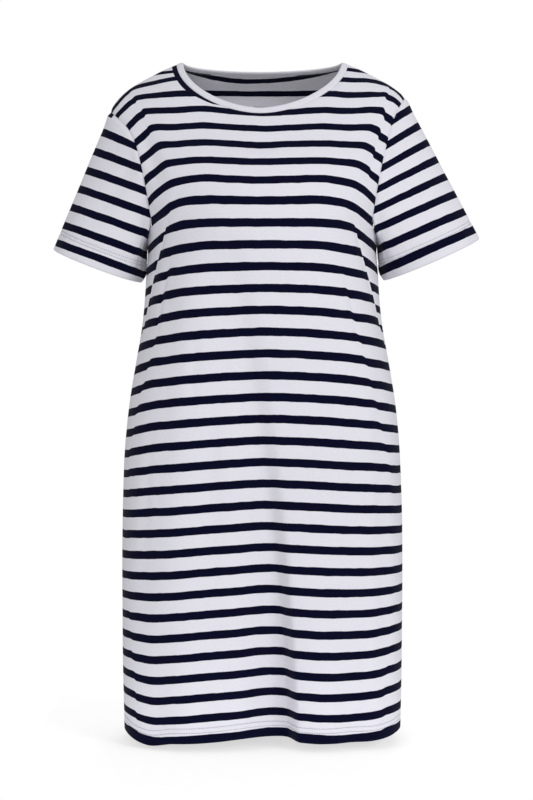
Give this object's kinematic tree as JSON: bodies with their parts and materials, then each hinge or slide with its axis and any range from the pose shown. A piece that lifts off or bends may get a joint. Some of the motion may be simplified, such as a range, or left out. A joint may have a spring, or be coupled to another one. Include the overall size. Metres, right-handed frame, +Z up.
{
  "type": "t-shirt dress",
  "caption": "T-shirt dress in striped jersey, filled out and hollow, with short set-in sleeves, a bound round neck, long bust darts and a straight skirt that falls in soft folds to the hem.",
  "frame": {"origin": "midway between the two high shoulder points, where the dress hangs on the wearer", "axes": "+Z up along the dress, the front faces -Y, the wearer's left side is at +X"},
  "size_m": [0.5943, 0.2632, 0.9369],
  "materials": {
    "striped_jersey": "matte single jersey, cool white with narrow navy stripes",
    "plain_jersey": "matte single jersey, plain cool white"
  },
  "bodies": {
    "root": {"front": "striped_jersey", "back": "striped_jersey", "sleeve_left": "striped_jersey", "sleeve_right": "striped_jersey", "neck_binding": "plain_jersey"}
  },
  "joints": []
}
